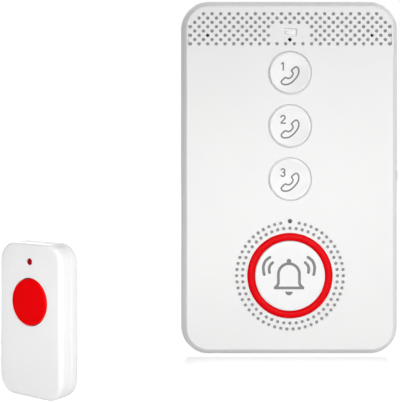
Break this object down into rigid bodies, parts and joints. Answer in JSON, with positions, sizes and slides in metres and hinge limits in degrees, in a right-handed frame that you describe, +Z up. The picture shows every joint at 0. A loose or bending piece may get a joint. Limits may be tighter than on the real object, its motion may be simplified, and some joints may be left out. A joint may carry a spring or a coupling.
{
  "type": "medical alert device",
  "caption": "Upright call panel with call buttons, a ringed SOS button, a dot grille and keyholes behind, with a small press-button help pendant beside it.",
  "frame": {"origin": "centre of the call panel's flat bottom face", "axes": "+Z up along the panel, +Y out of its rear face, its buttons face -Y"},
  "size_m": [0.1458, 0.0823, 0.14],
  "materials": {
    "white_housing": "satin moulded ABS, fine spark texture",
    "white_button": "smooth moulded ABS",
    "pendant_housing": "polished moulded ABS",
    "red_plastic": "glossy translucent red",
    "red_lens": "dark red lens, unlit",
    "clear_lens": "frosted clear",
    "smoked_lens": "smoked clear, unlit",
    "grey_mesh": "acoustic mesh",
    "dark_cone": "matt",
    "black_plastic": "moulded",
    "screw_steel": "plated",
    "circuit_board": "solder mask",
    "battery_wrap": "shrink film",
    "rubber": "moulded"
  },
  "bodies": {
    "panel": {"front_cover": "white_housing", "rear_cover": "white_housing", "cover_screws": "screw_steel", "main_board": "circuit_board", "control_chips": "black_plastic", "board_leds": "clear_lens", "status_window": "clear_lens", "alarm_indicator": "smoked_lens", "light_diffuser": "clear_lens", "speaker_mesh": "grey_mesh", "speaker_frame": "black_plastic", "speaker_cone": "dark_cone", "microphone": "screw_steel", "microphone_gasket": "rubber", "battery": "battery_wrap", "battery_connector": "black_plastic", "sim_socket": "screw_steel", "radio_module": "screw_steel", "antenna": "circuit_board", "usb_socket": "screw_steel", "power_switch_body": "screw_steel", "sos_ring": "red_plastic", "sos_switch": "black_plastic", "call_switch_1": "black_plastic", "call_switch_2": "black_plastic", "call_switch_3": "black_plastic"},
    "call_button_1": {"call_button_1": "white_button", "call_plunger_1": "black_plastic"},
    "call_button_2": {"call_button_2": "white_button", "call_plunger_2": "black_plastic"},
    "call_button_3": {"call_button_3": "white_button", "call_plunger_3": "black_plastic"},
    "sos_button": {"sos_button": "white_button", "sos_plunger": "black_plastic"},
    "power_switch": {"power_switch": "black_plastic"},
    "pendant": {"pendant_front": "pendant_housing", "pendant_rear": "pendant_housing", "pendant_board": "circuit_board", "pendant_switch": "black_plastic", "pendant_lens": "red_lens", "pendant_cell": "screw_steel", "pendant_cell_clip": "screw_steel"},
    "pendant_button": {"pendant_button": "red_plastic", "pendant_plunger": "black_plastic"}
  },
  "joints": [
    {"name": "call_press_1", "type": "slide", "parent": "panel", "child": "call_button_1", "axis": [0, 1, 0], "range_m": [0, 0.0005], "stiffness_N_per_m": 1200},
    {"name": "call_press_2", "type": "slide", "parent": "panel", "child": "call_button_2", "axis": [0, 1, 0], "range_m": [0, 0.0005], "stiffness_N_per_m": 1200},
    {"name": "call_press_3", "type": "slide", "parent": "panel", "child": "call_button_3", "axis": [0, 1, 0], "range_m": [0, 0.0005], "stiffness_N_per_m": 1200},
    {"name": "sos_press", "type": "slide", "parent": "panel", "child": "sos_button", "axis": [0, 1, 0], "range_m": [0, 0.0008], "stiffness_N_per_m": 1500},
    {"name": "power_slide", "type": "slide", "parent": "panel", "child": "power_switch", "axis": [0, 0, 1], "range_m": [0, 0.002]},
    {"name": "pendant_lift", "type": "slide", "parent": "panel", "child": "pendant", "axis": [0, 0, 1], "range_m": [0, 0.15]},
    {"name": "pendant_press", "type": "slide", "parent": "pendant", "child": "pendant_button", "axis": [0.5563, 0.831, 0], "range_m": [0, 0.0005], "stiffness_N_per_m": 1000}
  ]
}
